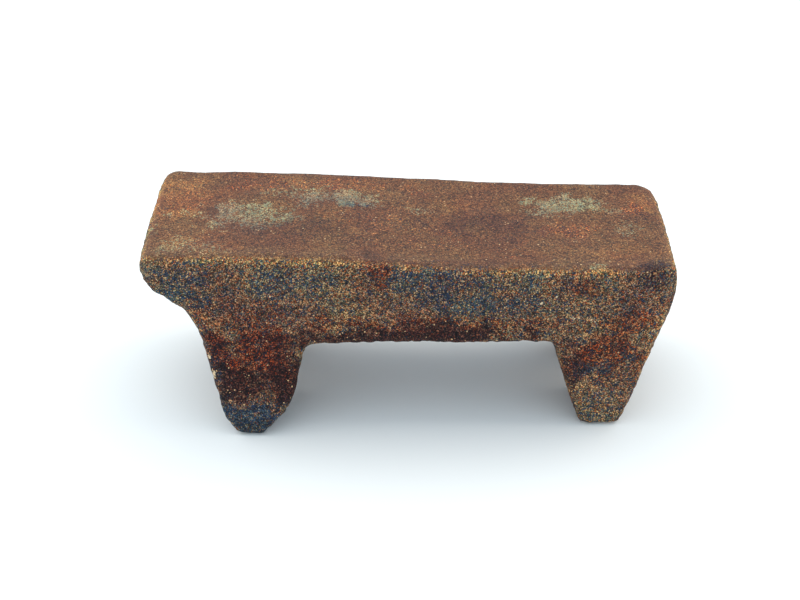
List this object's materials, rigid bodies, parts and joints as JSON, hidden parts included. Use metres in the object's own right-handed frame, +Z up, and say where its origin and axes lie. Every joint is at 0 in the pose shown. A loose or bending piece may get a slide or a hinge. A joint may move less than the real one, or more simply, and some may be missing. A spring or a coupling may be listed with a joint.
{
  "type": "legged grinding stone",
  "caption": "Long stone slab carved in one with short tapered feet, its nearly flat top the surface for grinding grain or pigment by hand.",
  "frame": {"origin": "centre of the overall bounding box in plan, on the plane the feet stand on", "axes": "+X along the slab from the overhanging end to the square end, +Y from the front to the back, +Z up"},
  "size_m": [0.2974, 0.122, 0.1116],
  "materials": {
    "stone": "coarse-grained brown stone, ground smooth on top, dressed rough below"
  },
  "bodies": {
    "root": {"quern": "stone"}
  },
  "joints": []
}
